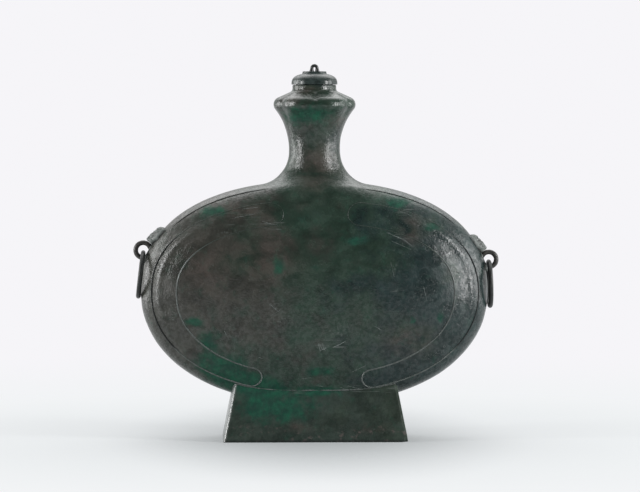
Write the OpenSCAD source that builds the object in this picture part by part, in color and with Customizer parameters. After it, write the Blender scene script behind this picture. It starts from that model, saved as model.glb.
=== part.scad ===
// Garlic-head flat flask of cast bronze, with a lobed lid and two ring handles.
// Millimetres, +Z up, the origin on the rest face under the middle of the foot, the front face towards -Y.

/* [Belly] */
// Width of the belly across its two flanks
belly_w = 286.6; // [250:0.2:320]
// Depth of the belly from face to face
belly_d = 96; // [86:1:110]
// Height of the belly's widest level above the rest face
belly_mid_z = 121.5; // [112:0.5:130]
// Height of the shoulder's crown, which lies inside the neck
shoulder_z = 213.2; // [208:0.2:220]
// Height at which the underside would close in the front view, below its flat base
under_z = 29.5; // [26:0.5:31]
// Height of the side view's crown, which lies inside the neck
face_top_z = 231.5; // [228:0.5:238]
// Height at which the side view's outline would close, below the flat base
face_low_z = 6.5; // [2:0.5:12]
// Fullness of the shoulder in the front view, where 2 is an ellipse
shoulder_power = 2.3; // [2.1:0.05:2.5]
// Fullness of the underside in the front view
under_power = 2.15; // [2.05:0.05:2.4]
// Flatness of the two faces in the level section
face_power = 2.5; // [2.2:0.1:3]
// Flatness of the level section where the belly meets the foot
base_power = 4; // [3:0.5:5]
// Height over which the level section squares up above the seam
square_span = 41; // [30:1:50]
// How far below the neck's slimmest level the section starts to flatten
flat_start = 15; // [10:1:20]
// Height over which the section flattens from round to the belly's oval
flat_span = 35; // [28:1:45]
// Height of the flat underside inside the foot
belly_base_z = 34; // [33:0.5:37]
// Thickness of the cast wall
wall = 3; // [2.4:0.1:3.4]

/* [Neck and garlic head] */
// Diameter of the neck at its slimmest
neck_d = 42.4; // [38:0.2:46]
// Height of the slimmest level of the neck
neck_z = 240; // [236:0.5:246]
// Radius of the hollow curve between the shoulder and the neck
root_r = 27; // [20:1:30]
// Radius of the hollow curve that flares the neck into the head
flare_r = 52; // [44:1:60]
// Width of the garlic head across opposite cloves
head_w = 67.8; // [62:0.2:74]
// Radius of the rounded edge of the cloves
clove_r = 6.5; // [5.5:0.1:8]
// Number of cloves round the head
clove_count = 6; // [5:1:8]
// Depth of the grooves between the cloves
clove_depth = 3.4; // [1.5:0.1:4]
// Sharpness of the grooves, where less makes fuller cloves
clove_sharpness = 0.8; // [0.6:0.1:1.2]
// Height over which the grooves fade into the neck
groove_fade = 24; // [16:1:28]
// Slope of the head's top towards the collar, in degrees
crown_slope = 24; // [18:1:30]
// Outer diameter of the collar round the mouth
collar_d = 36; // [34:0.2:39]
// Radius of the hollow curve at the foot of the collar
collar_fillet = 3; // [2:0.25:4]
// Height of the collar's rim above the rest face
mouth_z = 292.6; // [291:0.2:298]
// Diameter of the round mouth
mouth_d = 31; // [28:0.2:31.6]

/* [Foot] */
// Width of the foot at the rest face
foot_w = 152; // [140:0.5:160]
// Depth of the foot at the rest face
foot_d = 82; // [76:0.5:88]
// Width of the foot at the height of the seam
foot_top_w = 136; // [130:0.5:140]
// Depth of the foot at the height of the seam
foot_top_d = 70; // [66:0.5:72]
// Height of the seam between the foot and the belly's faces
seam_z = 41; // [39:0.5:42]
// Wall of the hollow foot
foot_wall = 3.5; // [2.8:0.1:4]
// Radius of the foot's upright edges
foot_edge_r = 3; // [1.5:0.25:5]

/* [Lid] */
// Width of the lid across opposite lobes
lid_d = 38; // [36.6:0.2:42]
// Height of the lid's cap above its lip
lid_h = 9.4; // [8:0.2:11]
// Fullness of the cap's outline
lid_power = 2.8; // [2.2:0.1:3.2]
// Depth of the grooves between the lid's lobes
lid_groove = 0.9; // [0.4:0.1:1.2]
// Width of the raised rosette on the lid
rosette_d = 19.8; // [16:0.2:22]
// Height of the rosette's top above the lip
rosette_h = 10.9; // [10.4:0.1:11.8]
// Depth of the notches between the rosette's petals
rosette_notch = 1; // [0.4:0.1:1.4]
// Length of the lid's plug below the lip
plug_len = 9; // [6:0.5:11]
// Wall of the plug
plug_wall = 2.4; // [1.8:0.1:3]
// Thickness of the cap over the hollow of the lid
cap_wall = 2.8; // [2.2:0.1:3.4]
// Radial clearance of the plug in the mouth
plug_gap = 0.35; // [0.2:0.05:0.5]
// Gap between the lid's lip and the collar's rim
lip_gap = 0.3; // [0.2:0.05:0.5]

/* [Lid loop] */
// Width of the loop's eye
eye_w = 1.7; // [1.2:0.1:2.4]
// Height of the loop above the rosette
loop_h = 6.1; // [5.4:0.1:7.5]
// Diameter of the loop's rod
loop_rod_d = 3; // [2.4:0.1:3.4]
// Diameter of the loop's two feet
loop_foot_d = 3.8; // [3.4:0.1:4]
// Diameter of the pegs under the feet
loop_peg_d = 2; // [1.6:0.1:2.2]
// Length of the pegs in the lid
loop_peg_len = 1.4; // [1:0.1:1.8]

/* [Masks] */
// Height of the middle of the left mask
mask_z = 163; // [158:0.5:168]
// How much lower the right mask and ring sit
right_drop = 7; // [0:0.5:9]
// Half the height of a mask along the flank
mask_half_h = 14.5; // [13:0.5:16]
// Half the width of a mask across the horns
mask_half_w = 12.5; // [11:0.5:14]
// How far the brow stands out from the flank
mask_relief = 6; // [4.5:0.25:7]
// Radius of the bulging eyes
mask_eye_r = 2.2; // [1.6:0.1:2.6]
// Fitting gap between cast-on pieces and the belly
seat_gap = 0.15; // [0.1:0.05:0.3]

/* [Ring staples] */
// Radius of the staple along the middle of its rod
staple_r = 6.2; // [5.8:0.1:6.8]
// Diameter of the staple's rod
staple_rod_d = 4; // [3.4:0.1:4.2]
// How far the middle of the staple's eye stands off the flank
staple_reach = 3.9; // [3.7:0.1:4.6]
// Distance of the staple's eye below the middle of the mask
staple_below = 10.5; // [10:0.5:12]
// Height of the flat pads that the staple stands on
pad_h = 0.6; // [0.4:0.1:0.7]
// Radius of the pads
pad_r = 3; // [2.6:0.1:3.2]
// Diameter of the staple's pegs
staple_peg_d = 2.4; // [1.8:0.1:2.6]
// Length of the staple's pegs in the pads
staple_peg_len = 0.8; // [0.5:0.1:0.9]

/* [Rings] */
// Radius of a ring along the middle of its rod
ring_r = 18.25; // [16:0.25:20]
// Diameter of the ring's rod
ring_rod_d = 4; // [3.4:0.1:4.2]
// Running clearance of a ring in its staple
ring_gap = 0.4; // [0.3:0.05:0.6]
// Gap between a hanging ring and the belly's flank
hang_gap = 0.35; // [0.3:0.05:0.8]

/* [Fineness] */
// Facets round the belly, a multiple of the cloves for an even head
around = 72; // [48:12:96]

/* [Hidden] */
$fn = 64;
neck_r = neck_d / 2;
collar_r = collar_d / 2;
mouth_r = mouth_d / 2;
shoulder_rise = shoulder_z - belly_mid_z;
under_fall = belly_mid_z - under_z;
face_rise = face_top_z - belly_mid_z;
face_fall = belly_mid_z - face_low_z;
// Clearances of the pegs in their holes and of the rings from the masks
peg_gap = 0.12;
slot_gap = 0.3;
// Thickness of a sheet to hull from, and how far joined solids and cuts run into each other
eps = 0.01;
over = 1;
// Depth to which a mask's solid runs below the flank before the belly trims it
mask_root = 6;
// Reach of the trimming solid above and below a mask, and of the raw foot above its seam
flank_trim_reach = 42;
foot_trim_rise = 40;
skirt_over = 16;
// Least radius of an inner upright edge of the foot
inner_edge_r = 0.5;

// A quarter of a rounded outline, half width a and height c, and its outward direction
function quarter(a, c, p, f) = [a * pow(cos(f), 2 / p), c * pow(sin(f), 2 / p)];
function quarter_out(a, c, p, f) =
    let (v = [pow(cos(f), 2 - 2 / p) / a, pow(sin(f), 2 - 2 / p) / c]) v / norm(v);
function unit_step(t) = let (s = max(0, min(1, t))) s * s * (3 - 2 * s);
function mix(a, b, t) = a + (b - a) * unit_step(t);

// Angle on the quarter outline where a hollow curve of radius r touches it and the neck, by halving
function touch(a, c, p, r, lo = 1, hi = 89.9, n = 32) =
    n == 0 ? (lo + hi) / 2
    : let (f = (lo + hi) / 2, x = quarter(a, c, p, f)[0] + r * quarter_out(a, c, p, f)[0])
      x > neck_r + root_r ? touch(a, c, p, r, f, hi, n - 1) : touch(a, c, p, r, lo, f, n - 1);

// Half depth of the flask at a height, from the side view's outline grown by g
function side_touch(g) = touch(belly_d / 2 + g, face_rise + g, 2, root_r - g);
function side_point(g) = quarter(belly_d / 2 + g, face_rise + g, 2, side_touch(g));
function side_mid(g) =
    belly_mid_z + side_point(g)[1]
    + (root_r - g) * quarter_out(belly_d / 2 + g, face_rise + g, 2, side_touch(g))[1];
function half_depth(z, g) =
    z >= side_mid(g) ? neck_r + g
    : z >= belly_mid_z + side_point(g)[1]
      ? neck_r + root_r - sqrt(pow(root_r - g, 2) - pow(side_mid(g) - z, 2))
    : let (h = z >= belly_mid_z ? (z - belly_mid_z) / (face_rise + g) : (belly_mid_z - z) / (face_fall + g))
      (belly_d / 2 + g) * sqrt(1 - h * h);

// Flatness of the level section at a height
function section_power(z) =
    z > belly_mid_z ? mix(2, face_power, (neck_z - flat_start - z) / flat_span)
    : mix(base_power, face_power, (z - seam_z) / square_span);

// A level of the belly: half width, half depth, flatness, height and groove depth
function belly_level(p, g) = [p[0], half_depth(p[1], g), section_power(p[1]), p[1], 0];
function base_angle(g) =
    let (h = (belly_mid_z - belly_base_z + g) / (under_fall + g)) asin(pow(h, under_power / 2));
function under_levels(g, n) =
    [for (i = [0 : n - 1])
        let (q = quarter(belly_w / 2 + g, under_fall + g, under_power, base_angle(g) * (1 - i / n)))
        belly_level([q[0], belly_mid_z - q[1]], g)];
function shoulder_angle(g) = touch(belly_w / 2 + g, shoulder_rise + g, shoulder_power, root_r - g);
function shoulder_levels(g, n) =
    [for (i = [0 : n])
        let (q = quarter(belly_w / 2 + g, shoulder_rise + g, shoulder_power, shoulder_angle(g) * i / n))
        belly_level([q[0], belly_mid_z + q[1]], g)];
function root_levels(g, n) =
    let (q = quarter(belly_w / 2 + g, shoulder_rise + g, shoulder_power, shoulder_angle(g)),
         v = quarter_out(belly_w / 2 + g, shoulder_rise + g, shoulder_power, shoulder_angle(g)),
         c = [q[0], belly_mid_z + q[1]] + (root_r - g) * v)
    [for (i = [1 : n])
        let (t = atan2(v[1], v[0]) * (1 - i / n))
        belly_level([neck_r + root_r - (root_r - g) * cos(t), c[1] - (root_r - g) * sin(t)], g)];

// Centres of the curves of the garlic head
flare_c = [neck_r + flare_r, neck_z];
clove_x = head_w / 2 - clove_r;
clove_c = [clove_x, neck_z + sqrt(pow(flare_r + clove_r, 2) - pow(flare_c[0] - clove_x, 2))];
flare_end = atan2(clove_c[1] - flare_c[1], flare_c[0] - clove_c[0]);
crown_out = [sin(crown_slope), cos(crown_slope)];
crown_start = clove_c + clove_r * crown_out;
crown_end_x = collar_r + collar_fillet - collar_fillet * crown_out[0];
crown_end = [crown_end_x, crown_start[1] + (crown_start[0] - crown_end_x) * tan(crown_slope)];
collar_c = crown_end + collar_fillet * crown_out;

// Depth of the grooves at a height of the head
function groove(z) =
    clove_depth * unit_step((z - clove_c[1] + groove_fade) / groove_fade)
    * (1 - unit_step((z - clove_c[1] - clove_r / 2) / (collar_c[1] - clove_c[1] - clove_r / 2)));
function head_level(p, g) = g < 0 ? [p[0] - groove(p[1]), p[0] - groove(p[1]), 2, p[1], 0]
    : [p[0], p[0], 2, p[1], groove(p[1])];
function flare_levels(g, n) =
    [for (i = [0 : n])
        let (t = flare_end * i / n)
        head_level(flare_c + (flare_r - g) * [-cos(t), sin(t)], g)];
function clove_levels(g, n) =
    [for (i = [1 : n])
        let (t = -flare_end + (90 - crown_slope + flare_end) * i / n)
        head_level(clove_c + (clove_r + g) * [cos(t), sin(t)], g)];
function crown_levels(n) =
    [for (i = [0 : n])
        let (t = (90 - crown_slope) * (1 - i / n))
        head_level(collar_c - collar_fillet * [cos(t), sin(t)] + [eps, 0], 0)];

// One level as a ring of points, and a closed solid through a list of levels
function level_ring(l, n, lobes) =
    [for (i = [0 : n - 1])
        let (t = 360 * i / n, c = cos(t), s = sin(t),
             dip = l[4] * (1 - pow(abs(cos(lobes * t / 2)), clove_sharpness)))
        [(l[0] - dip) * sign(c) * pow(abs(c), 2 / l[2]),
         (l[1] - dip) * sign(s) * pow(abs(s), 2 / l[2]), l[3]]];
module loft(levels, n, lobes = clove_count) {
    last = len(levels) - 1;
    points = [for (l = levels) each level_ring(l, n, lobes)];
    sides = [for (k = [0 : last - 1], i = [0 : n - 1])
        let (a = k * n + i, b = k * n + (i + 1) % n)
        each [[a, a + n, b + n], [a, b + n, b]]];
    base = [for (i = [0 : n - 1]) i];
    top = [for (i = [0 : n - 1]) last * n + n - 1 - i];
    polyhedron(points, concat([base, top], sides));
}

// The flask from its base to the cloves, with the number of levels in each curve
function flask_levels(g, n) =
    concat(under_levels(g, n[0]), shoulder_levels(g, n[1]), root_levels(g, n[2]),
           flare_levels(g, n[3]), clove_levels(g, n[4]));
outer_steps = [8, 9, 4, 5, 6];
hollow_steps = [5, 7, 3, 3, 3];
crown_steps = 3;
module outer_form() {
    loft(concat(flask_levels(0, outer_steps), crown_levels(crown_steps)), around);
}
module hollow_form() {
    loft(flask_levels(-wall, hollow_steps), around / 2);
}
// The belly between two heights, grown by the fitting gap, to trim what is cast on to it
module belly_trim(low, high) {
    levels = concat(under_levels(seat_gap, outer_steps[0]), shoulder_levels(seat_gap, outer_steps[1]));
    loft([for (l = levels) if (l[3] > low && l[3] < high) l], around);
}

// Where the flask's flank lies at a height, and how far it leans back there
function flank_f(z) = asin(pow((z - belly_mid_z) / shoulder_rise, shoulder_power / 2));
function flank_x(z) = quarter(belly_w / 2, shoulder_rise, shoulder_power, flank_f(z))[0];
function flank_lean(z) =
    let (v = quarter_out(belly_w / 2, shoulder_rise, shoulder_power, flank_f(z))) atan2(v[1], v[0]);
module on_flank(z) {
    translate([flank_x(z), 0, z]) rotate([0, -flank_lean(z), 0]) children();
}

module flask_body() {
    color("#3b4540")
    difference() {
        union() {
            outer_form();
            translate([0, 0, collar_c[1] - over]) cylinder(r = collar_r, h = mouth_z - collar_c[1] + over);
        }
        hollow_form();
        translate([0, 0, clove_c[1]]) cylinder(r = mouth_r, h = mouth_z);
    }
}

// A four-sided skirt whose walls lean in from the rest face, set in by inset
module foot_block(inset) {
    reach = seam_z + skirt_over;
    lean_w = (foot_w - foot_top_w) / seam_z;
    lean_d = (foot_d - foot_top_d) / seam_z;
    edge = max(foot_edge_r - inset, inner_edge_r);
    hull()
        for (z = [-inset, reach])
            for (x = [-1, 1], y = [-1, 1])
                translate([x * ((foot_w - lean_w * z) / 2 - inset - edge),
                           y * ((foot_d - lean_d * z) / 2 - inset - edge), z])
                    cylinder(r = edge, h = eps, $fn = 32);
}
module foot() {
    color("#3f4a43")
    difference() {
        foot_block(0);
        foot_block(foot_wall);
        belly_trim(0, seam_z + foot_trim_rise);
    }
}

// The lid's cap and rosette as levels, the cap up to where the rosette covers it
lip_z = mouth_z + lip_gap;
cap_steps = 7;
cap_stop = 78;
petal_edge = 0.5;
cap_levels = [for (i = [0 : cap_steps])
    let (f = cap_stop * i / cap_steps, q = quarter(lid_d / 2, lid_h, lid_power, f))
    [q[0], q[0], 2, lip_z + q[1], lid_groove * cos(f)]];
rosette_levels = [for (l = [[rosette_d / 2, lid_h - cap_wall], [rosette_d / 2, rosette_h - petal_edge],
                            [rosette_d / 2 - petal_edge, rosette_h]])
    [l[0], l[0], 2, lip_z + l[1], rosette_notch]];
module lid() {
    color("#36413d")
    difference() {
        union() {
            loft(cap_levels, around);
            loft(rosette_levels, around);
            translate([0, 0, lip_z - plug_len]) cylinder(r = mouth_r - plug_gap, h = plug_len + over);
        }
        rotate_extrude() lid_hollow();
        for (x = [-1, 1]) translate([x * loop_mid_r, 0, rosette_z - loop_peg_len - peg_gap])
            cylinder(d = loop_peg_d + 2 * peg_gap, h = loop_peg_len + over);
    }
}
// Half the section of the hollow in the plug and cap, with its roof's edge cut off
roof_cut = 3;
module lid_hollow() {
    inside_r = mouth_r - plug_gap - plug_wall;
    roof_z = lip_z + lid_h - cap_wall;
    low_z = lip_z - plug_len - over;
    polygon([[0, low_z], [inside_r, low_z], [inside_r, roof_z - roof_cut], [inside_r - roof_cut, roof_z],
             [0, roof_z]]);
}

rosette_z = lip_z + rosette_h;
loop_mid_r = (eye_w + loop_rod_d) / 2;
module lid_loop() {
    arch_z = rosette_z + loop_h - loop_mid_r - loop_rod_d / 2;
    color("#2f3634") {
        translate([0, 0, arch_z]) rotate([90, 0, 0]) rotate_extrude(angle = 180)
            translate([loop_mid_r, 0]) circle(d = loop_rod_d);
        for (x = [-1, 1]) translate([x * loop_mid_r, 0, 0]) {
            translate([0, 0, rosette_z])
                cylinder(d1 = loop_foot_d, d2 = loop_rod_d, h = arch_z - rosette_z);
            translate([0, 0, rosette_z - loop_peg_len]) cylinder(d = loop_peg_d, h = loop_peg_len + eps);
        }
    }
}

// Middle of the staple's eye, seen from the mask's own middle: outward and up the flank
eye_out = staple_reach;
eye_up = -staple_below;
leg_step = sqrt(pow(staple_r, 2) - pow(staple_reach - pad_h, 2));

// Places on the mask's face, as shares of its half height and half width, and the radii of its swellings
temple = [0.41 * mask_half_h, mask_half_w];
cheek = [-0.24 * mask_half_h, 0.78 * mask_half_w];
eye_seat = [0.15 * mask_half_h, 0.43 * mask_half_w];
horn_seat = [0.72 * mask_half_h, 0.56 * mask_half_w];
brow_low = [0.34 * mask_half_h, 0.19 * mask_half_w];
brow_high = [0.62 * mask_half_h, 0.76 * mask_half_w];
snout_top = 0.48 * mask_half_h;
snout_tip = -0.07 * mask_half_h;
temple_r = 5;
cheek_r = 4;
cheek_back = 2;
crest_r = 4.5;
snout_r = 2.8;
snout_taper = 0.6;
brow_r = 1.5;
brow_back = 2;
horn_r = 2.6;
horn_rod_r = 1.1;
horn_back = 2.4;
horn_tilt = 76;
dome_fn = 16;
tongue_h = 0.2;

// A beast's face in relief: a domed plate, a snout, brows, curled horns and eyes, cut clear of the ring
module beast_mask() {
    difference() {
        union() {
            face_dome();
            snout();
            for (side = [0, 1]) mirror([0, side, 0]) {
                brow();
                horn();
                translate([mask_relief - mask_eye_r / 2, eye_seat[1], eye_seat[0]]) sphere(r = mask_eye_r);
            }
        }
        translate([eye_out, 0, eye_up]) rotate([90, 0, 0])
            cylinder(r = staple_r + staple_rod_d / 2 + slot_gap, h = 4 * mask_half_w, center = true);
    }
    chin();
}
module face_dome() {
    hull() {
        for (y = [-1, 1]) {
            translate([mask_relief - temple_r, y * (temple[1] - temple_r), temple[0]])
                sphere(r = temple_r, $fn = dome_fn);
            translate([mask_relief - cheek_r - cheek_back, y * (cheek[1] - cheek_r), cheek[0]])
                sphere(r = cheek_r, $fn = dome_fn);
        }
        translate([mask_relief - crest_r, 0, mask_half_h - crest_r]) sphere(r = crest_r, $fn = dome_fn);
        translate([-mask_root, 0, 0]) sphere(r = cheek_r, $fn = dome_fn);
    }
}
module snout() {
    hull() {
        translate([mask_relief, 0, snout_top]) sphere(r = snout_r * snout_taper, $fn = dome_fn);
        translate([mask_relief - snout_r / 2, 0, snout_tip]) sphere(r = snout_r, $fn = dome_fn);
    }
}
module brow() {
    hull() {
        translate([mask_relief, brow_low[1], brow_low[0]]) sphere(r = brow_r, $fn = dome_fn);
        translate([mask_relief - brow_back, brow_high[1], brow_high[0]]) sphere(r = brow_r, $fn = dome_fn);
    }
}
module horn() {
    translate([mask_relief - horn_back, horn_seat[1], horn_seat[0]]) rotate([0, horn_tilt, 0])
        rotate_extrude() translate([horn_r, 0]) circle(r = horn_rod_r);
}
// The flat tongue under the eye of the staple, with a pad and a peg hole for each leg
module chin() {
    difference() {
        union() {
            translate([-mask_root, -pad_r, eye_up - leg_step])
                cube([mask_root + tongue_h, 2 * pad_r, 2 * leg_step]);
            at_legs(-mask_root) cylinder(r = pad_r, h = mask_root + pad_h);
        }
        at_legs(pad_h - staple_peg_len - peg_gap)
            cylinder(d = staple_peg_d + 2 * peg_gap, h = staple_peg_len + over);
    }
}
module at_legs(out) {
    for (s = [-1, 1]) translate([out, 0, eye_up + s * leg_step]) rotate([0, 90, 0]) children();
}
module fitted_mask(z) {
    difference() {
        on_flank(z) beast_mask();
        belly_trim(z - flank_trim_reach, z + flank_trim_reach);
    }
}
module mask_left() {
    color("#47534f") mirror([1, 0, 0]) fitted_mask(mask_z);
}
module mask_right() {
    color("#47534f") fitted_mask(mask_z - right_drop);
}

// A rod bent round, cut off flat at the pads, with a peg into each pad
module staple() {
    intersection() {
        translate([eye_out, 0, eye_up]) rotate([90, 0, 0]) rotate_extrude()
            translate([staple_r, 0]) circle(d = staple_rod_d);
        translate([pad_h, -staple_rod_d, eye_up - 2 * staple_r])
            cube([4 * staple_r, 2 * staple_rod_d, 4 * staple_r]);
    }
    at_legs(pad_h - staple_peg_len) cylinder(d = staple_peg_d, h = staple_peg_len + slot_gap);
}
module ring_staple_left() {
    color("#4a4440") mirror([1, 0, 0]) on_flank(mask_z) staple();
}
module ring_staple_right() {
    color("#4a4440") on_flank(mask_z - right_drop) staple();
}

// Middle of the staple's eye and of the ring's rod inside it, in the flask's frame
function eye_at(z) =
    let (e = flank_lean(z))
    [flank_x(z) + eye_out * cos(e) - eye_up * sin(e), z + eye_out * sin(e) + eye_up * cos(e)];
ring_drop = staple_r - (staple_rod_d + ring_rod_d) / 2 - ring_gap;
function pin_at(z) = eye_at(z) - [0, ring_drop];
function ring_lean(z) = asin((belly_w / 2 + ring_rod_d / 2 + hang_gap - pin_at(z)[0]) / (2 * ring_r));
module hanging_ring(z) {
    translate([pin_at(z)[0], 0, pin_at(z)[1]]) rotate([0, -ring_lean(z), 0])
        translate([0, 0, -ring_r]) rotate([0, 90, 0]) rotate_extrude()
            translate([ring_r, 0]) circle(d = ring_rod_d);
}
module ring_left() {
    color("#4c5350") mirror([1, 0, 0]) hanging_ring(mask_z);
}
module ring_right() {
    color("#4c5350") hanging_ring(mask_z - right_drop);
}

flask_body();
foot();
lid();
lid_loop();
mask_left();
mask_right();
ring_staple_left();
ring_staple_right();
ring_left();
ring_right();
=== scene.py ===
"""Looks of a garlic-head flat flask of cast bronze: an oval belly on a hollow foot, a lobed head with its lid,
and a beast mask with a free ring on each flank. Shapes are worked out in millimetres and scaled to metres last."""

from math import acos, asin, atan2, copysign, cos, exp, hypot, pi, radians, sin, sqrt, tan, tau

import bmesh
import bpy
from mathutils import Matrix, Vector
from mathutils.noise import noise


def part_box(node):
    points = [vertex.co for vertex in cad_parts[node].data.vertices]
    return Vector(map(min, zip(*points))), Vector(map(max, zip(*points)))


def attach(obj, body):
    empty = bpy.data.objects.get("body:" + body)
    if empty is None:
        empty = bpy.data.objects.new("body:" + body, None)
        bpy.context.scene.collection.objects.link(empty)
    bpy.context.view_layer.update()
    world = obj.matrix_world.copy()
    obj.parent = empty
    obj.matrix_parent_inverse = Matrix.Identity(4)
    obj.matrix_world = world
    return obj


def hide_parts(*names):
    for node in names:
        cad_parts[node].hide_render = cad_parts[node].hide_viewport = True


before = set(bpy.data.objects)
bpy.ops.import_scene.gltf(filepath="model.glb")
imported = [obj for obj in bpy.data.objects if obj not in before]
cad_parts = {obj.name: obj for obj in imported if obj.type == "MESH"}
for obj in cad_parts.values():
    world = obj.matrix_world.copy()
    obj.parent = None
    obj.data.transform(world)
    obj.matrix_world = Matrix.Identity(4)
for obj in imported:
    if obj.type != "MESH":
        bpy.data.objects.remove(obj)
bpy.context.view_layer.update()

MM = 0.001
UP = Vector((0, 0, 1))
WELD = 0.01
FACES = {"front": -1, "back": 1}
SIDES = {"left": -1, "right": 1}
QUARTERS = [(face, side, FACES[face], SIDES[side]) for face in FACES for side in SIDES]

# Belly: half width A and half depth B; the first four are measured from the solid it dresses
BODY_LOW, BODY_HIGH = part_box("flask_body")
BELLY_A = BODY_HIGH.x / MM
BELLY_B = BODY_HIGH.y / MM
MOUTH_Z = BODY_HIGH.z / MM
BASE_Z = BODY_LOW.z / MM
MID_Z = 121.5
SHOULDER_RISE = 91.7
UNDER_FALL = 92
FACE_RISE = 110
FACE_FALL = 115
SHOULDER_POWER = 2.3
UNDER_POWER = 2.15
FACE_POWER = 2.5
BASE_POWER = 4
SHOULDER = (BELLY_A, SHOULDER_RISE, SHOULDER_POWER)
FLAT_START = 15
FLAT_SPAN = 35
SEAM_Z = 41
SQUARE_SPAN = 41
WALL = 3
CORE_R = 6

# Neck, garlic head and collar
NECK_R = 21.2
NECK_Z = 240
ROOT_R = 27
FLARE_R = 52
HEAD_R = 33.9
CLOVE_R = 6.5
CLOVES = 6
CLOVE_DEPTH = 3.4
GROOVE_FADE = 24
GROOVE_SHARPNESS = 0.8
GROOVE_SOFTNESS = 0.05
CREASE_DEPTH = 1.1
CREASE_HALF = radians(5)
CROWN_SLOPE = radians(24)
COLLAR_R = 18
COLLAR_FILLET = 3
MOUTH_R = 15.5
RIM_ROUND = 0.8

# Steps round the axis and along each curve of the flask's outside and hollow
AROUND = 360
BELLY_STEPS, HOLLOW_BELLY_STEPS = (46, 56, 18), (20, 24, 6)
HEAD_STEPS, HOLLOW_HEAD_STEPS = (24, 16), (8, 6)
COLLAR_STEPS = (6, 6, 3)

# Unevenness of the casting: size across, height and seed of each wave
CAST_WAVES = ((26, 0.35, 3.1), (7, 0.12, 8.7))
FOOT_WAVE = (18, 0.3, 5.3)
LID_WAVE = (8, 0.12, 2.2)

# The two crescent bands on each face: half width, rise and fall of their outer and inner outlines, and the round
# turns at their ends
BAND_OUTER = (134.3, 76.5, 81.0)
BAND_INNER = (114.0, 58.0, 66.5)
BAND_TOP_X = 37
BAND_FOOT_X = {-1: 53, 1: 46.5}
BAND_STEPS = 44
TURN_STEPS = 8
TURN_STRETCH = 1.15
THREAD_R = 0.62
THREAD_WORN = 0.62
THREAD_WORN_Z, THREAD_WORN_SPAN = 150, 25
EDGE_IN = 3.9
EDGE_R = 0.42
EDGE_SPAN = (radians(36), radians(77))
EDGE_STEPS = 60
ROLL_HEIGHT = 0.9
ROLL_IN = 5.0
ROLL_WIDTH = 3.4
ROLL_START, ROLL_SPAN = 45, 60
ROLL_TOP = NECK_Z - 20

# Scratches on the front face: the points of each across and up
SCRATCHES = (
    ((1.9, 81.2), (3.5, 75.0), (7.2, 78.1)), ((3.2, 80.6), (5.2, 76.4), (9.0, 77.6)), ((7.2, 78.1), (14.9, 79.0)),
    ((12, 77.4), (19, 80.4), (25.7, 84.3)), ((5.0, 82.2), (7.4, 75.8)), ((9.6, 80.2), (12.4, 76.6)),
    ((-31, 108), (-38, 114)), ((-36, 105), (-29, 109)), ((-68, 86), (-61, 89)), ((-75, 92), (-71, 84)),
    ((-112, 181), (-92, 188.5)), ((-96, 176), (-84, 180)), ((-60, 191), (-47, 192.5)), ((-66, 184), (-50, 187)),
    ((-44, 181), (-31, 178)), ((58, 172), (72, 166), (80, 160)), ((62, 165), (78, 158)), ((68, 190), (79, 185)),
    ((61, 148), (64, 136)), ((88, 128), (91, 116)), ((20, 45), (28, 41.5)), ((26, 46), (36, 43.5)),
    ((0, 46.5), (6, 45.5)), ((-12, 52), (-4, 53)), ((30, 58), (41, 63)), ((-52, 72), (-44, 69)), ((47, 96), (54, 92)))
SCRATCH_R = 0.3
SCRATCH_LIFT = 0.05

# Foot: half width and depth at the floor; its levels are shares of the way up to its seam with the belly
FOOT_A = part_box("foot")[1].x / MM
FOOT_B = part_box("foot")[1].y / MM
LEAN_A = 8 / 41
LEAN_B = 6 / 41
FOOT_EDGE_R = 3
FOOT_WALL = 3.5
FOOT_RIM = 0.7
FOOT_LEVELS = (1, 0.97, 0.92, 0.86, 0.79, 0.71, 0.63, 0.55, 0.47, 0.39, 0.31, 0.23, 0.16, 0.1, 0.05)
FOOT_HOLLOW_LEVELS = (0.02, 0.1, 0.3, 0.5, 0.75, 1)
FOOT_CORNERS = ((1, -1), (1, 1), (-1, 1), (-1, -1))
CORNER_STEPS = 6
WALL_STEPS = (22, 44)
CHIP_REACH = 5
CHIP_DEPTH = 1.2
BEAD_R, BEAD_SWELL, BEAD_LUMP = 0.14, 0.48, 9

# Lid; the rosette's top is given by radius and depth
LIP_Z = MOUTH_Z + 0.3
LIP_H = 0.25
LID_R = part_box("lid")[1].x / MM
LID_H = 9.4
LID_POWER = 2.8
LID_GROOVE = 0.9
LID_WALL = 2.8
CAP_STEPS = 26
LID_AROUND = 240
ROSETTE_R = 9.9
ROSETTE_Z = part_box("lid")[1].z / MM
ROSETTE_NOTCH = 0.6
ROSETTE_TOP = ((9.85, 0.45), (9.55, 0.08), (9.1, 0), (7.4, 0.25), (5.6, 0.42), (3.8, 0.3), (2, 0.1), (0, 0))
PLUG_R = 15.15
PLUG_WALL = 2.4
PLUG_LEN = 9
LOOP_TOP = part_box("lid_loop")[1].z / MM
LOOP_FOOT_X = 2.35
LOOP_FOOT_R = 1.95
LOOP_TAPER = 0.55
LOOP_ARCH_R = 2.1
LOOP_ROD_R = 1.35

# Masks, staples and rings
MASK_Z = {"left": 163, "right": 156}
MASK_W = 12.5
MASK_TOP = 14.5
MASK_BOTTOM = -20.0
MASK_SKIRT = 0.6
MASK_BACK = 1.2
MASK_COLUMNS, MASK_ROWS = 96, 128
MASK_GRAIN = ((0.1, 7, 0.9), (0.06, 3, 2.3))
SUNK = 0.7
EYE_OUT = 3.9
EYE_DOWN = 10.5
STAPLE_R = 6.2
STAPLE_ROD_R = 2
STAPLE_STEPS = 30
SLOT_R = 8.5
PAD_H = 0.6
PAD_R = 3
STAPLE_LEG = sqrt(STAPLE_R ** 2 - (EYE_OUT - PAD_H) ** 2)
TONGUE_H = 0.25
RING_R = 18.25
RING_ROD_R = 2
RING_STEPS = 96
RING_DROP = 1.8
HANG_GAP = 0.35

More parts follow.
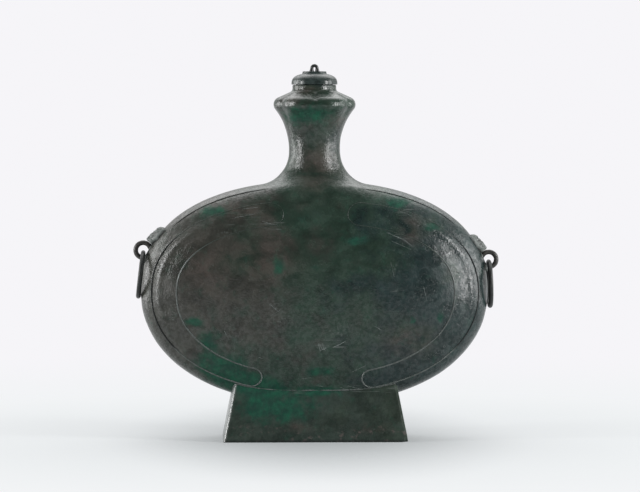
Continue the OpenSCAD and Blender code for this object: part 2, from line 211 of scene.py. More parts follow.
# The beast's face: its highest point, an eye's middle and radius, a brow's span, and of the curls of horn and
# cheek the middle, way up, reach, first radius, growth, width and height
FACE_HIGH = 6.6
BEAST_EYE, BEAST_EYE_R = (5.3, 3.0), 2.1
BROW = (1.0, 10.2)
CURLS = ((7.2, 11.0, 1, 3.3, 0.35, 0.36, 0.42, 1.0), (7.6, -0.6, -1, 2.4, 0.3, 0.3, 0.38, 0.7))
RELIEF = "relief"
NEIGHBOURS = ((1.1, 0), (-1.1, 0), (0, 1.1), (0, -1.1), (0.8, 0.8), (-0.8, 0.8), (0.8, -0.8), (-0.8, -0.8))

# Where malachite has grown, where the bronze shows brown, and where it is rubbed pale or scratched, in the front
# view: the middle across and up, the half width and the half height of each place
PLACES = (
    # Malachite, front and back
    (((-80, 62, 22, 15), (-60, 50, 22, 9), (-42, 44, 24, 8), (-24, 27, 24, 13), (-50, 29, 14, 10), (-100, 99, 9, 4),
      (-30, 145, 6, 8), (33, 165, 9, 4), (79.5, 100, 2.6, 4), (101.8, 102, 2.6, 4), (-83, 189, 14, 5),
      (68, 196, 12, 5), (-8, 268, 22, 9), (95, 176, 8, 4), (5, 58, 14, 5), (-88, 84, 8, 10), (4, 42, 20, 5)),
     ((60, 70, 22, 14), (-40, 120, 14, 9), (-95, 88, 12, 8), (20, 176, 18, 7), (92, 140, 9, 13), (-10, 268, 15, 6),
      (-30, 24, 20, 9), (44, 33, 12, 6))),
    # Brown, front and back
    (((76, 84, 22, 14), (78, 174, 10, 14), (-86, 58, 5, 3), (-70, 58, 4, 3), (-40, 150, 30, 22), (-92, 140, 26, 30),
      (20, 262, 12, 6), (-60, 190, 26, 8), (-16, 12, 14, 4), (46, 11, 14, 4), (2, 226, 22, 24), (-6, 288, 14, 5)),
     ((-70, 160, 26, 16), (50, 130, 24, 20), (10, 80, 22, 12), (80, 60, 12, 8))),
    # Rubbed, front and back
    (((-82, 144, 5, 5), (-71, 91, 5, 6), (-65, 85, 4, 4), (-35, 111, 7, 6), (104, 145, 3, 10), (64, 141, 5, 9),
      (86, 120, 9, 6), (-28, 100, 12, 8), (20, 92, 14, 6), (88, 180, 12, 4), (-72, 172, 14, 3)),
     ((-20, 150, 14, 8), (70, 96, 12, 8), (-84, 118, 8, 10))),
    # Scratched, front and back
    (((12, 80, 14, 5), (5, 45, 4, 2), (70, 169, 9, 3), (-56, 190, 16, 6), (-60, 181, 18, 4), (-98, 178, 7, 4),
      (46, 43, 26, 4), (-20, 40, 18, 3), (76, 187, 10, 5), (60, 126, 8, 5), (-34, 178, 10, 5)),
     ((-30, 60, 24, 6), (44, 186, 20, 5), (-70, 120, 10, 8), (30, 42, 30, 3))))
COVER = "cover"
PAINTED = ("body patina", "foot patina")

# Noises of the patina: size in millimetres, detail, roughness, shift, stretch and twist
PATINA_NOISES = {
    "clouds": (36, 4, 0.6, 1.7), "mottle": (15, 5, 0.55, 3.1, (1.3, 1, 1), 0.5), "fine": (2.2, 4, 0.65, 9.3),
    "ragged": (8, 5, 0.65, 7.7), "stray": (19, 5, 0.7, 5.5), "verdigris": (6, 4, 0.6, 2.9),
    "hair": (1.0, 2, 0.5, 3.3, (16, 16, 1), 0.6), "flecks": (3.4, 3, 0.7, 12.2, (1.5, 1, 1)),
    "pits": (3.2, 2, 0.5, 4.6), "dents": (9, 2, 0.5, 3.1), "grain": (1.5, 3, 0.65, 8.8)}
FOOT_SPOTS = (4.2, 4, 0.65, 6.4, (1.6, 1, 1))
PIECE_CLOUDS = (4.5, 4, 0.6, 1.3)
PIECE_DENTS = (4.5, 2, 0.5, 1.3)
PIECE_FINE = (1.3, 4, 0.65, 5.8)
THREAD_FINE = (1.6, 4, 0.65, 5.8)
DRIFT_SPAN = 170

BROWN_BRONZE = (0.042, 0.034, 0.029)
DARK_MALACHITE = (0.009, 0.038, 0.027)
BRIGHT_MALACHITE = (0.010, 0.07, 0.041)
# Pale bronze: wear on the body and small pieces, and a painted highlight on the foot's left corner
PALE_WEAR_AND_HIGHLIGHT = (0.085, 0.095, 0.088)
PALE_THREAD = (0.085, 0.095, 0.09)
# Near black: painted shade on the threads down the flanks, and the darker foot rim and shoulder edges
NEAR_BLACK = (0.007, 0.009, 0.009)
FOOT_FLECKS = (0.068, 0.057, 0.052)

# Studio: tones of the paper, its painted shadow in an oval round the object, distances over which it brightens, and
# what the metal mirrors from front to back
STUDIO_WHITE = (0.92, 0.912, 0.939)
FLOOR_NEAR = (0.88, 0.9, 0.91)
FLOOR_PAINTED_SHADOW = (0.41, 0.435, 0.44)
FLOOR_SQUEEZE = 0.45
FLOOR_PAINTED_SHADOW_SPAN = (25, 185)
FLOOR_FADE_SPAN = (250, 1100)
FLOOR_GLOW_STEP = (110, 520, 0.5, 1.0)
FLOOR_R, FLOOR_SIDES = 2.5, 96
PAPER = (0.5, 0.51, 0.515)
FILL_TONE, FILL_POWER = (0.93, 0.97, 1.0), 0.6
MIRRORED_STEP = (-0.75, 0.25, 0.06, 0.92)

# Soft lamps round the middle of the belly: the bearing from the front and the rise of each, its distance,
# its width and height, its power, and whether it lights the floor and the shaded sides too
LAMPS = {
    "left_key": (-74, 10, 1.3, (0.2, 0.8), 13, True),
    "left_edge": (-112, 10, 1.3, (0.45, 0.8), 7, False),
    "right_key": (63, 13, 1.3, (0.29, 0.8), 16.5, True),
    "right_edge": (97, 10, 1.3, (0.4, 0.9), 7.5, False),
    "top": (180, 80, 1.35, (1.2, 0.8), 5, True),
    "top_back": (180, 50, 1.5, (2.2, 1.0), 14, True),
}
LAMP_AIM = Vector((0, 0, 0.16))
CAMERA_AIM = Vector((0.0046, 0, 0.1594))
CAMERA_PLACE = (-1.7, 2.2, 3.2)
CAMERA_SENSOR, CAMERA_LENS = 36, 217.5


def quarter(a, c, p, f):
    """A point of a rounded outline of half width a and height c, at the parameter angle f."""
    return a * cos(f) ** (2 / p), c * sin(f) ** (2 / p)


def quarter_out(a, c, p, f):
    """The outward direction of that outline at f."""
    return Vector((cos(f) ** (2 - 2 / p) / a, sin(f) ** (2 - 2 / p) / c)).normalized()


def smooth(t):
    s = max(0.0, min(1.0, t))
    return s * s * (3 - 2 * s)


def spread(start, end, steps):
    """Evenly spread values from start to end."""
    return [start + (end - start) * i / steps for i in range(steps + 1)]


def arc(centre, radius, turns):
    """The points of a circle at the angles turns."""
    return [(centre[0] + radius * cos(t), centre[1] + radius * sin(t)) for t in turns]


def bell(distance, width):
    return exp(-((distance / width) ** 2))


def halved(low, high, steps, past):
    """The narrow bounds within which past(value) turns true."""
    for _ in range(steps):
        middle = (low + high) / 2
        low, high = (low, middle) if past(middle) else (middle, high)
    return low, high


def touch(a, c, p, r):
    """The angle at which a hollow curve of radius r meets both the outline and the neck."""
    def past(f):
        return quarter(a, c, p, f)[0] + r * quarter_out(a, c, p, f)[0] <= NECK_R + ROOT_R
    return sum(halved(radians(1), radians(89.9), 32, past)) / 2


def side_joint(grow):
    """Heights at which the side view's outline ends and its hollow curve meets the neck."""
    face, r = (BELLY_B + grow, FACE_RISE + grow, 2), ROOT_R - grow
    f = touch(*face, r)
    end = MID_Z + quarter(*face, f)[1]
    return end, end + r * quarter_out(*face, f)[1]


SIDE_JOINTS = {grow: side_joint(grow) for grow in (0, -WALL)}


def half_depth(z, grow=0):
    """Half the depth of the flask at a height, on its outside or, with grow at minus the wall, inside."""
    end, neck = SIDE_JOINTS[grow]
    if z >= neck:
        return NECK_R + grow
    if z >= end:
        return NECK_R + ROOT_R - sqrt(max((ROOT_R - grow) ** 2 - (neck - z) ** 2, 0))
    h = (z - MID_Z) / (grow + (FACE_RISE if z >= MID_Z else FACE_FALL))
    return (BELLY_B + grow) * sqrt(max(1 - h * h, 0))


def section_power(z):
    """Flatness of the level section: round at the neck, squarish where the belly meets the foot."""
    if z > MID_Z:
        return 2 + (FACE_POWER - 2) * smooth((NECK_Z - FLAT_START - z) / FLAT_SPAN)
    return BASE_POWER + (FACE_POWER - BASE_POWER) * smooth((z - SEAM_Z) / SQUARE_SPAN)


def half_width(z):
    """Half the width of the belly at a height, in the front view."""
    rise, p = (SHOULDER_RISE, SHOULDER_POWER) if z >= MID_Z else (UNDER_FALL, UNDER_POWER)
    return BELLY_A * (1 - min(abs(z - MID_Z) / rise, 1) ** p) ** (1 / p)


def in_belly(p):
    power = section_power(p.z)
    return abs(p.x / half_width(p.z)) ** power + abs(p.y / half_depth(p.z)) ** power < 1


def base_angle(grow):
    """The angle of the outline under the belly at which the flat base starts."""
    return asin(((MID_Z - BASE_Z + grow) / (UNDER_FALL + grow)) ** (UNDER_POWER / 2))


def belly_curve(grow, under_steps, shoulder_steps, root_steps):
    """Half widths and heights from the base up the flank and round into the neck."""
    a, r = BELLY_A + grow, ROOT_R - grow
    under = [quarter(a, -UNDER_FALL - grow, UNDER_POWER, f) for f in spread(base_angle(grow), 0, under_steps)]
    shoulder = (a, SHOULDER_RISE + grow, SHOULDER_POWER)
    end = touch(*shoulder, r)
    over = [quarter(*shoulder, f) for f in spread(0, end, shoulder_steps)]
    out = quarter_out(*shoulder, end)
    root = arc((NECK_R + ROOT_R, over[-1][1] + r * out.y), -r, spread(atan2(out.y, out.x), 0, root_steps))
    return [(x, MID_Z + z) for x, z in under[:-1] + over + root[1:]]


# Centres of the curves of the garlic head
FLARE_C = Vector((NECK_R + FLARE_R, NECK_Z))
CLOVE_X = HEAD_R - CLOVE_R
CLOVE_C = Vector((CLOVE_X, NECK_Z + sqrt((FLARE_R + CLOVE_R) ** 2 - (FLARE_C.x - CLOVE_X) ** 2)))
FLARE_END = atan2(CLOVE_C.y - FLARE_C.y, FLARE_C.x - CLOVE_C.x)
CROWN_OUT = Vector((sin(CROWN_SLOPE), cos(CROWN_SLOPE)))
CROWN_START = CLOVE_C + CLOVE_R * CROWN_OUT
CROWN_END_X = COLLAR_R + COLLAR_FILLET - COLLAR_FILLET * CROWN_OUT.x
CROWN_END = Vector((CROWN_END_X, CROWN_START.y + (CROWN_START.x - CROWN_END_X) * tan(CROWN_SLOPE)))
COLLAR_C = CROWN_END + COLLAR_FILLET * CROWN_OUT


def head_curve(grow, flare_steps, clove_steps):
    """Radii and heights up the flare and round the cloves."""
    flare = arc(FLARE_C, FLARE_R - grow, spread(pi, pi - FLARE_END, flare_steps))
    return flare + arc(CLOVE_C, CLOVE_R + grow, spread(-FLARE_END, pi / 2 - CROWN_SLOPE, clove_steps))[1:]


def collar_curve(crown_steps, fillet_steps, rim_steps):
    """Radii and heights over the crown, up the collar and over its rim into the bore."""
    crown = [tuple(CROWN_START.lerp(CROWN_END, share)) for share in spread(0, 1, crown_steps)]
    fillet = arc(COLLAR_C, -COLLAR_FILLET, spread(pi / 2 - CROWN_SLOPE, 0, fillet_steps))
    rim_z = MOUTH_Z - RIM_ROUND
    outer = arc((COLLAR_R - RIM_ROUND, rim_z), RIM_ROUND, spread(0, pi / 2, rim_steps))
    inner = arc((MOUTH_R + RIM_ROUND, rim_z), RIM_ROUND, spread(pi / 2, pi, rim_steps))
    return crown[1:] + fillet[1:] + outer + inner


def groove_depth(z):
    """Depth of the grooves between the cloves at a height of the head."""
    rise = smooth((z - CLOVE_C.y + GROOVE_FADE) / GROOVE_FADE)
    middle = CLOVE_C.y + CLOVE_R / 2
    return CLOVE_DEPTH * rise * (1 - smooth((z - middle) / (COLLAR_C.y - middle)))


def lobe_dip(t, depth):
    """How far a lobed outline draws in at the angle t, with a softly rounded bottom to each groove."""
    full = (cos(CLOVES * t / 2) ** 2 + GROOVE_SOFTNESS) / (1 + GROOVE_SOFTNESS)
    return depth * (1 - full ** (GROOVE_SHARPNESS / 2))


def crease(r, t, z):
    """The narrow crease that runs up the crown between two cloves."""
    off = (t + pi / 2 + pi / CLOVES) % (tau / CLOVES) - pi / CLOVES
    along = smooth((z - CLOVE_C.y) / CLOVE_R) * smooth((r - COLLAR_R - 1) / 3)
    return CREASE_DEPTH * along * bell(off, CREASE_HALF)


def unevenness(p, size, height, seed):
    """A gentle rise and fall of a hand-finished casting, about size across and height deep."""
    return height * noise(Vector((p.x / size + seed, p.y / size, p.z / size)))


def band_half(band, upper):
    """Half width, rise and power of a band's outline over or, with the rise below zero, under the belly's middle."""
    half_w, up, down = band
    return (half_w, up, SHOULDER_POWER) if upper else (half_w, -down, UNDER_POWER)


def past_band(x, z):
    """How far a point lies outside the bands' outer outline, in millimetres, below zero inside."""
    half_w, rise, p = band_half(BAND_OUTER, z > MID_Z)
    share = ((abs(x) / half_w) ** p + abs((z - MID_Z) / rise) ** p) ** (1 / p)
    return hypot(x, z - MID_Z) * (1 - 1 / max(share, 0.05))


def face_roll(x, z):
    """The rolled edge that the face has just inside the outer thread."""
    return smooth((abs(x) - ROLL_START) / ROLL_SPAN) * ROLL_HEIGHT * bell(past_band(x, z) + ROLL_IN, ROLL_WIDTH)


def outward(p, half_w, half_d, power):
    """The outward level direction of a flat section at p."""
    v = Vector((copysign(abs(p.x / half_w) ** (power - 1) / half_w, p.x),
                copysign(abs(p.y / half_d) ** (power - 1) / half_d, p.y), 0))
    return v.normalized() if v.length > 1e-9 else v


def face_point(x, z, face_sign, lift=0.0):
    """The point of the front or back face behind a point of the front view."""
    wide, deep, power = half_width(z), half_depth(z), section_power(z)
    p = Vector((x, face_sign * deep * max(1 - (abs(x) / wide) ** power, 0) ** (1 / power), z))
    return p + outward(p, wide, deep, power) * (face_roll(x, z) + lift)


def polar(p):
    return hypot(p.x, p.y), atan2(p.y, p.x), p.z


def upright(r, t, z):
    """The point at radius r and angle t round the upright axis."""
    return Vector((r * cos(t), r * sin(t), z))


def level(p):
    """The level direction from the upright axis to p."""
    return Vector((p.x, p.y, 0)).normalized()


def skin_point(r, t, z, grow):
    """Where the flask's skin has its point that was spun at radius r, outside or, with grow below zero, inside."""
    if z > NECK_Z:
        return upright(r, t, z) if grow else upright(r - lobe_dip(t, groove_depth(z)), t, z - crease(r, t, z))
    depth = half_depth(z, grow)
    if z <= BASE_Z - grow + 0.01:
        base_w = quarter(BELLY_A + grow, UNDER_FALL + grow, UNDER_POWER, base_angle(grow))[0]
        depth *= min(r / base_w, 1)
    flat = smooth(r / CORE_R)
    depth = depth * flat + r * (1 - flat)
    c, s, share = cos(t), sin(t), 2 / section_power(z)
    return Vector((copysign(r * abs(c) ** share, c), copysign(depth * abs(s) ** share, s), z))


def spun(bm, outline, steps):
    """Spins an outline of radii and heights round the upright axis, and returns the new points."""
    before = set(bm.verts)
    chain = [bm.verts.new((r, 0, z)) for r, z in outline]
    edges = [bm.edges.new(pair) for pair in zip(chain, chain[1:])]
    bmesh.ops.spin(bm, geom=chain + edges, cent=(0, 0, 0), axis=UP, angle=tau, steps=steps, use_merge=True)
    return [v for v in bm.verts if v not in before]


def lofted(bm, rings):
    """Extrudes a ring of edges through rings of points, and returns the first and the last edges."""
    ring = bmesh.ops.create_circle(bm, segments=len(rings[0]), radius=1)["verts"]
    first = edges = list({e for v in ring for e in v.link_edges})
    for v, p in zip(ring, rings[0]):
        v.co = p
    for points in rings[1:]:
        new = bmesh.ops.extrude_edge_only(bm, edges=edges)["geom"]
        fresh = {v for v in new if isinstance(v, bmesh.types.BMVert)}
        ring = [next(e.other_vert(old) for e in old.link_edges if e.other_vert(old) in fresh) for old in ring]
        edges = [e for e in new if isinstance(e, bmesh.types.BMEdge) and all(v in fresh for v in e.verts)]
        for v, p in zip(ring, points):
            v.co = p
    return first, edges


def rod(bm, path, radii, sides=8, closed=True):
    """A rod along a path of points with a radius for each, closed to a loop or capped at its ends."""
    last = len(path) - 1
    rings, side = [], None
    for i, (point, radius) in enumerate(zip(path, radii)):
        ahead = path[(i + 1) % len(path)] if closed or i < last else point
        behind = path[i - 1] if closed or i else point
        along = (ahead - behind).normalized()
        side = side or along.orthogonal()
        side = (side - along * side.dot(along)).normalized()
        across = along.cross(side)
        rings.append([point + radius * (cos(t) * side + sin(t) * across) for t in spread(0, tau, sides)[:-1]])
    first, end = lofted(bm, rings)
    if closed:
        bmesh.ops.bridge_loops(bm, edges=first + end)
    else:
        for edges in (first, end):
            bmesh.ops.edgeloop_fill(bm, edges=edges)


def placed(bm, name, look):
    """Turns a mesh into an object of the scene."""
    mesh = bpy.data.meshes.new(name)
    bm.to_mesh(mesh)
    bm.free()
    mesh.materials.append(look)
    obj = bpy.data.objects.new(name, mesh)
    bpy.context.scene.collection.objects.link(obj)
    return obj


def piece(bm, name, body, look, stands_for=(), sharp=40):
    """Finishes a mesh in millimetres as a piece that rides on a body of the frame."""
    bmesh.ops.recalc_face_normals(bm, faces=bm.faces)
    bmesh.ops.scale(bm, vec=(MM, MM, MM), verts=bm.verts)
    obj = placed(bm, name, look)
    obj.data.shade_smooth()
    obj.data.set_sharp_from_angle(angle=radians(sharp))
    if look.name in PAINTED:
        paint_cover(obj.data)
    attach(obj, body)
    if stands_for:
        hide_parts(*stands_for)


def rod_piece(path, radii, name, body, look, stands_for=(), sides=8, closed=True):
    bm = bmesh.new()
    rod(bm, path, radii, sides, closed)
    piece(bm, name, body, look, stands_for)


def make_flask(look):
    """Belly, neck, garlic head and collar: one hollow casting, open at the mouth."""
    hollow_head = head_curve(-WALL, *HOLLOW_HEAD_STEPS)
    bore_end = [(MOUTH_R, hollow_head[-1][1])]
    outside = [(r, BASE_Z) for r in range(0, 70, 10)] + belly_curve(0, *BELLY_STEPS) + head_curve(0, *HEAD_STEPS)
    hollow = [(0, BASE_Z + WALL)] + belly_curve(-WALL, *HOLLOW_BELLY_STEPS)
    hollow += [(r - groove_depth(z), z) for r, z in hollow_head]
    bm = bmesh.new()
    for v in spun(bm, outside + collar_curve(*COLLAR_STEPS) + bore_end, AROUND):
        r, t, z = polar(v.co)
        v.co = skin_point(r, t, z, 0)
        way = outward(v.co, max(r, 1), max(half_depth(z), 1), section_power(z)) if z < NECK_Z else Vector()
        if BASE_Z < z < ROLL_TOP:
            v.co += way * face_roll(v.co.x, z)
        if z <= CLOVE_C.y or r >= COLLAR_R - 0.1:
            wave = sum(unevenness(v.co, *cast) for cast in CAST_WAVES)
            v.co += (way if way.length else level(v.co)) * wave
    for v in spun(bm, hollow + bore_end, AROUND // 2):
        v.co = skin_point(*polar(v.co), -WALL)
    bmesh.ops.remove_doubles(bm, verts=bm.verts, dist=WELD)
    piece(bm, "flask_casting", "flask", look, ["flask_body"])


def band_path(side_sign, face_sign):
    """The closed outline of one crescent band, laid on the face."""
    def stretch(band, x_from, upper):
        half_w, rise, p = band_half(band, upper)
        turns = spread(0, acos((x_from / half_w) ** (p / 2)), BAND_STEPS)
        return [quarter(half_w, rise, p, f) for f in turns[1:]]

    def turn(x, upper):
        halves = [band_half(band, upper) for band in (BAND_OUTER, BAND_INNER)]
        z_out, z_in = (rise * (1 - (x / half_w) ** p) ** (1 / p) for half_w, rise, p in halves)
        r, middle = (z_out - z_in) / 2, (z_out + z_in) / 2
        return [(x - abs(r) * TURN_STRETCH * sin(t), middle + r * cos(t)) for t in spread(0, pi, TURN_STEPS)[1:-1]]

    foot_x = BAND_FOOT_X[side_sign]
    flat = [(BAND_OUTER[0], 0)] + stretch(BAND_OUTER, BAND_TOP_X, True) + turn(BAND_TOP_X, True)
    flat += stretch(BAND_INNER, BAND_TOP_X, True)[::-1] + [(BAND_INNER[0], 0)]
    flat += stretch(BAND_INNER, foot_x, False) + turn(foot_x, False)[::-1]
    flat += stretch(BAND_OUTER, foot_x, False)[::-1]
    return [face_point(side_sign * x, MID_Z + rise, face_sign) for x, rise in flat]


def make_threads(look):
    """The raised threads that outline the two crescent bands, on the front and on the back."""
    for face, side, face_sign, side_sign in QUARTERS:
        path = band_path(side_sign, face_sign)
        worn = [THREAD_WORN * smooth((p.z - THREAD_WORN_Z) / THREAD_WORN_SPAN) for p in path]
        radii = [THREAD_R * (1 - share) for share in worn]
        rod_piece(path, radii, f"band_thread_{side}_{face}", "flask", look)


def make_shoulder_edges(look):
    """The fine dark edge along each shoulder, where the face turns over to the flank."""
    for face, side, face_sign, side_sign in QUARTERS:
        path, radii = [], []
        for i, f in enumerate(spread(*EDGE_SPAN, EDGE_STEPS)):
            x, rise = quarter(*SHOULDER, f)
            inward = quarter_out(*SHOULDER, f) * EDGE_IN
            path.append(face_point(side_sign * (x - inward.x), MID_Z + rise - inward.y, face_sign))
            radii.append(EDGE_R * (0.3 + 0.7 * smooth(min(i, EDGE_STEPS - i) / 8)))
        rod_piece(path, radii, f"shoulder_edge_{side}_{face}", "flask", look, closed=False)


def make_scratches(look):
    """Hairline scratches, as thin bright lines half sunk in the face; the back has the front's in mirror image."""
    for face, face_sign in FACES.items():
        bm = bmesh.new()
        for points in SCRATCHES:
            path = [face_point(-face_sign * x, z, face_sign, SCRATCH_LIFT) for x, z in points]
            radii = [SCRATCH_R * (0.4 if i in (0, len(path) - 1) else 1) for i in range(len(path))]
            rod(bm, path, radii, sides=4, closed=False)
        piece(bm, f"scratches_{face}", "flask", look)


def foot_ring(inset, z_at):
    """A level of the foot, a rounded rectangle that narrows with height; z_at picks each point on its wall line."""
    edge = max(FOOT_EDGE_R - inset, 0.5)
    points = []
    for k, corner in enumerate(FOOT_CORNERS):
        corner, following = Vector(corner), Vector(FOOT_CORNERS[(k + 1) % 4])
        steps = WALL_STEPS[k % 2]
        points += [(corner, pi / 2 * (k - 1 + i / CORNER_STEPS)) for i in range(CORNER_STEPS)]
        points += [(corner.lerp(following, i / steps), pi / 2 * k) for i in range(steps)]
    ring = []
    for way, t in points:
        def at(z):
            half_w = FOOT_A - LEAN_A * z - inset - edge
            half_d = FOOT_B - LEAN_B * z - inset - edge
            return Vector((way.x * half_w + edge * cos(t), way.y * half_d + edge * sin(t), z))
        ring.append(z_at(at))
    return ring


def under_belly(at):
    """The point of a leaning wall line where it meets the belly's underside."""
    return at(halved(0.0, 72.0, 24, lambda z: z > BASE_Z and in_belly(at(z)))[1])


def foot_level(inset, top, share):
    """The level of the foot at a share of the way up to its seam with the belly."""
    heights = iter(p.z * share for p in top)
    return foot_ring(inset, lambda at: at(next(heights)))


def make_foot(look):
    """The hollow rectangular foot, whose walls lean in and end against the belly, with one chipped corner."""
    top, hollow_top = foot_ring(0, under_belly), foot_ring(FOOT_WALL, under_belly)
    rings = [foot_level(0, top, share) for share in FOOT_LEVELS]
    for turn in (0, 30, 60, 90):
        inset, rise = (FOOT_RIM * (1 - part(radians(turn))) for part in (cos, sin))
        rings.append(foot_ring(inset, lambda at: at(rise)))
    rings.append(foot_ring(FOOT_WALL - FOOT_RIM, lambda at: at(0)))
    rings += [foot_level(FOOT_WALL, hollow_top, share) for share in FOOT_HOLLOW_LEVELS]
    bm = bmesh.new()
    first, end = lofted(bm, rings)
    bmesh.ops.bridge_loops(bm, edges=first + end)
    chipped = Vector((FOOT_A, -FOOT_B, 0))
    for v in bm.verts:
        near = 1 - (v.co - chipped).length / CHIP_REACH
        if near > 0:
            v.co += near * CHIP_DEPTH * Vector((-1, 1, 0.6))
        if v.co.z >= 1:
            side = Vector((v.co.x / FOOT_A, v.co.y / FOOT_B, 0)).normalized()
            v.co += side * min(v.co.z / 6, 1) * unevenness(v.co, *FOOT_WAVE)
    piece(bm, "foot_casting", "flask", look, ["foot"])


def make_seam(look):
    """The thin uneven bead of bronze where the foot was cast on to the belly."""
    path = foot_ring(-0.05, under_belly)
    radii = [BEAD_R + BEAD_SWELL * smooth(0.6 + 1.8 * noise(p / BEAD_LUMP)) for p in path]
    rod_piece(path, radii, "foot_seam", "flask", look)


def make_lid(look):
    """The lobed cap with its raised rosette and its hollow plug."""
    plug_in, plug_end = PLUG_R - PLUG_WALL, LIP_Z - PLUG_LEN
    outline = [(plug_in, plug_end), (PLUG_R - 0.5, plug_end), (PLUG_R, plug_end + 0.5), (PLUG_R, LIP_Z - 3)]
    outline += [(r, LIP_Z) for r in spread(PLUG_R, LID_R - 0.4, 3)]
    cap_end = acos(((ROSETTE_R + 0.6) / LID_R) ** (LID_POWER / 2))
    cap = [quarter(LID_R, LID_H - LIP_H, LID_POWER, f) for f in spread(0, cap_end, CAP_STEPS)]
    outline += [(r, LIP_Z + LIP_H + z) for r, z in cap]
    cap_z = outline[-1][1]
    outline += [(ROSETTE_R + 0.25, cap_z + 0.35), (ROSETTE_R, cap_z + 1.0)]
    outline += [(r, ROSETTE_Z - depth) for r, depth in ROSETTE_TOP]
    bm = bmesh.new()
    for v in spun(bm, outline, LID_AROUND):
        r, t, z = polar(v.co)
        depth = 0
        if r > PLUG_R + 0.1 and z < cap_z + 0.01:
            depth = LID_GROOVE * (1 - smooth((z - LIP_Z - 5) / 4))
        elif z > cap_z:
            depth = ROSETTE_NOTCH * smooth((r - 3) / 6)
        v.co = upright(r - lobe_dip(t, depth), t, z)
        if r > PLUG_R:
            v.co += level(v.co) * unevenness(v.co, *LID_WAVE)
    roof = LIP_Z + LID_H - LID_WALL
    hollow = [(plug_in, plug_end), (plug_in, roof - 3), (plug_in - 1.2, roof - 0.9), (plug_in - 3, roof), (0, roof)]
    spun(bm, hollow, LID_AROUND)
    bmesh.ops.remove_doubles(bm, verts=bm.verts, dist=WELD)
    piece(bm, "lid_casting", "cover", look, ["lid"])


def make_lid_loop(look):
    """The small loop on the lid: a rod bent to a drop-shaped eye, thicker at its feet."""
    arch_z = LOOP_TOP - LOOP_ROD_R - LOOP_ARCH_R
    foot, arch = Vector((-LOOP_FOOT_X, 0, ROSETTE_Z - 0.5)), Vector((-LOOP_ARCH_R, 0, arch_z))
    shares = spread(0, 1, 6)[:-1]
    path = [foot.lerp(arch, share) for share in shares]
    radii = [LOOP_FOOT_R - LOOP_TAPER * smooth(share) for share in shares]
    bow = [Vector((x, 0, z)) for x, z in arc((0, arch_z), LOOP_ARCH_R, spread(pi, 0, 12))]
    path += bow + [Vector((-p.x, 0, p.z)) for p in path[::-1]]
    radii += [LOOP_ROD_R] * len(bow) + radii[::-1]
    rod_piece(path, radii, "lid_loop_rod", "cover", look, ["lid_loop"], sides=20, closed=False)


class Flank:
    """Where a mask sits: its middle on the flank, with the outward and upward directions there."""

    def __init__(self, side):
        z = MASK_Z[side]
        f = asin(((z - MID_Z) / SHOULDER_RISE) ** (SHOULDER_POWER / 2))
        lean = quarter_out(*SHOULDER, f)
        self.sign = SIDES[side]
        self.middle = Vector((quarter(*SHOULDER, f)[0], 0, z))
        self.out = Vector((lean.x, 0, lean.y))
        self.up = Vector((-lean.y, 0, lean.x))

    def place(self, across, up, out):
        p = self.middle + self.out * out + self.up * up + Vector((0, across, 0))
        return Vector((p.x * self.sign, p.y, p.z))

    def skin_depth(self, across, up):
        """Height of the belly's skin there over the flank's tangent plane, mostly below zero."""
        return halved(-9.0, 2.0, 18, lambda out: not in_belly(self.place(across, up, out)))[0]


FLANKS = {side: Flank(side) for side in SIDES}


def curl_distance(x, y, r0, growth):
    """Distance to a spiral of two turns about the origin."""
    r, t = hypot(x, y), atan2(y, x) % tau
    return min(abs(r - (r0 + growth * (t + tau * k))) for k in (0, 1))


def beast_relief(v, u):
    """Height of the beast's face above the flank, at v across and u up from the mask's middle."""
    a = abs(v)
    edge_low = 4.5 + 8.0 * smooth((u + 4) / 9)
    edge_high = MASK_TOP - 1.6 * smooth((a - 2) / 4) + 1.2 * smooth((a - 6.5) / 3)
    inset = min(edge_low - a, edge_high - u, u + 3.6)
    if inset <= 0:
        return -SUNK
    plate = 2.5 * min(inset / 1.1, 1) ** 0.5
    h = plate + 2.0 * bell(hypot(v, u - 3.5), 8.5) * min(inset / 3, 1)
    nose = 1.5 * bell(v, 1.5) * smooth((9 - u) / 5) * smooth((u + 3.4) / 2)
    snout, nostril = 1.2 * bell(hypot(v, (u + 0.9) * 1.1), 2.4), 0.8 * bell(hypot(a - 1.5, u + 2.0), 0.55)
    crest = 1.1 * bell(hypot(v, (u - 11.2) * 0.7), 1.7)
    r_eye = hypot(a - BEAST_EYE[0], (u - BEAST_EYE[1]) * 1.25)
    eye = 1.5 * max(1 - (r_eye / BEAST_EYE_R) ** 2, 0) ** 0.5 + 0.5 * bell(r_eye - 2.9, 0.45)
    h += nose + snout - nostril + crest + eye
    if BROW[0] < a < BROW[1]:
        brow_u = 6.6 + 0.22 * (a - 1.2) + 0.9 * sin(a / 3.4)
        h += 1.2 * bell(u - brow_u, 0.75) * smooth((a - BROW[0]) / 1.2) * smooth((BROW[1] - a) / 1.4)
    for middle, middle_u, way, reach, r0, growth, width, height in CURLS:
        x, y = a - middle, way * (u - middle_u)
        if hypot(x, y) < reach:
            h += height * bell(curl_distance(x, y, r0, growth), width)
    return min(h, FACE_HIGH)


def tongue_relief(v, u):
    """Height of the flat tongue and its two pads under the staple, zero beside them."""
    off = abs(u + EYE_DOWN)
    to_pad = hypot(v, off - STAPLE_LEG)
    if to_pad < PAD_R:
        return PAD_H * min((PAD_R - to_pad) / 0.3, 1)
    return TONGUE_H if abs(v) < PAD_R and off < STAPLE_LEG else 0


def mask_height(v, u, skin):
    """Height of the mask over the flank's tangent plane, kept clear of the ring's slot."""
    face = beast_relief(v, u)
    reach = SLOT_R ** 2 - (u + EYE_DOWN) ** 2
    if reach > 0:
        face = min(face, EYE_OUT - sqrt(reach) - skin)
    height = skin + max(face, -SUNK)
    tongue = tongue_relief(v, u)
    return max(height, tongue) if tongue else height


